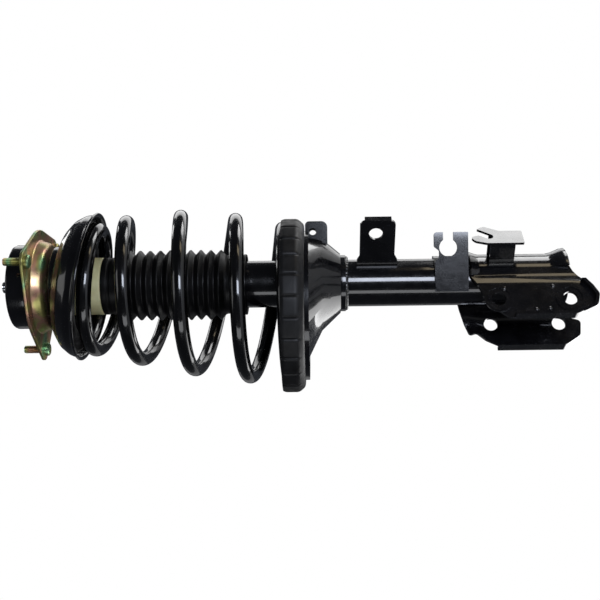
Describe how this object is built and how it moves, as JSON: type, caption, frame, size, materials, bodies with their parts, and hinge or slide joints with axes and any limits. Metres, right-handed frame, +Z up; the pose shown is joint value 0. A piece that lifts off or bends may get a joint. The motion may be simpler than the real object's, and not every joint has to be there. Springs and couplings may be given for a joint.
{
  "type": "suspension strut assembly",
  "caption": "Loaded front suspension strut with top mount, coil spring, dust boot, damper tube, cable brackets and a two-bolt knuckle bracket.",
  "frame": {"origin": "centre of the three-stud circle on the mount plate's upper face", "axes": "+Z up the strut's axis and out through the top mount, +X along the knuckle bolts, the bracket's ears open towards -Y"},
  "size_m": [0.1727, 0.1818, 0.5836],
  "materials": {
    "zinc_yellow": "yellow zinc plating, satin, faintly iridescent",
    "black_paint": "gloss black paint",
    "spring_coat": "gloss black powder coat",
    "black_rubber": "satin moulded rubber",
    "boot_rubber": "satin moulded elastomer",
    "cream_plastic": "satin moulded plastic",
    "foam": "matt microcellular foam",
    "steel": "machined",
    "chrome_rod": "polished hard chrome",
    "bearing_steel": "ground and polished",
    "cage_plastic": "satin",
    "bronze": "sintered",
    "band_plastic": "satin",
    "sintered_iron": "matt"
  },
  "bodies": {
    "top_mount": {"mount_plate": "zinc_yellow", "mount_studs": "zinc_yellow", "mount_cup": "black_paint", "mount_rubber": "black_rubber", "bearing_holder": "steel", "bearing_outer_race": "bearing_steel", "bearing_retainer": "steel"},
    "ball_cage": {"bearing_balls": "bearing_steel", "bearing_cage": "cage_plastic"},
    "rod": {"bearing_inner_race": "bearing_steel", "piston_rod": "chrome_rod", "rod_nut": "zinc_yellow", "rod_washer": "steel", "seat_spacer": "steel", "upper_spring_seat": "black_paint", "upper_spring_isolator": "black_rubber", "boot_collar": "cream_plastic", "bump_stop": "foam", "dust_boot": "boot_rubber", "coil_spring": "spring_coat", "rebound_stop": "steel", "piston": "sintered_iron", "piston_band": "band_plastic", "valve_shims": "steel", "piston_nut": "steel"},
    "strut_body": {"outer_tube": "black_paint", "pressure_tube": "steel", "rod_guide": "sintered_iron", "rod_guide_bush": "bronze", "oil_seal": "black_rubber", "top_cap": "black_paint", "base_valve": "sintered_iron", "base_cap": "black_paint", "lower_spring_seat": "black_paint", "seat_collar": "black_paint", "lower_spring_pad": "black_rubber", "hose_bracket": "black_paint", "sensor_bracket": "black_paint", "hook_bracket": "black_paint", "knuckle_bracket": "black_paint", "weld_beads": "black_paint"}
  },
  "joints": [
    {"name": "bearing_spin", "type": "hinge", "parent": "top_mount", "child": "rod", "pos_m": [0, 0, -0.0005], "axis": [0, 0, 1], "continuous": true},
    {"name": "cage_spin", "type": "hinge", "parent": "top_mount", "child": "ball_cage", "pos_m": [0, 0, -0.0005], "axis": [0, 0, 1], "continuous": true},
    {"name": "strut_slide", "type": "slide", "parent": "rod", "child": "strut_body", "axis": [0, 0, 1], "range_m": [0, 0.08], "stiffness_N_per_m": 25000, "springref_m": -0.04, "deforming": ["coil_spring"]}
  ],
  "couplings": [
    {"joint": "cage_spin", "follows": "bearing_spin", "ratio": 0.373}
  ]
}
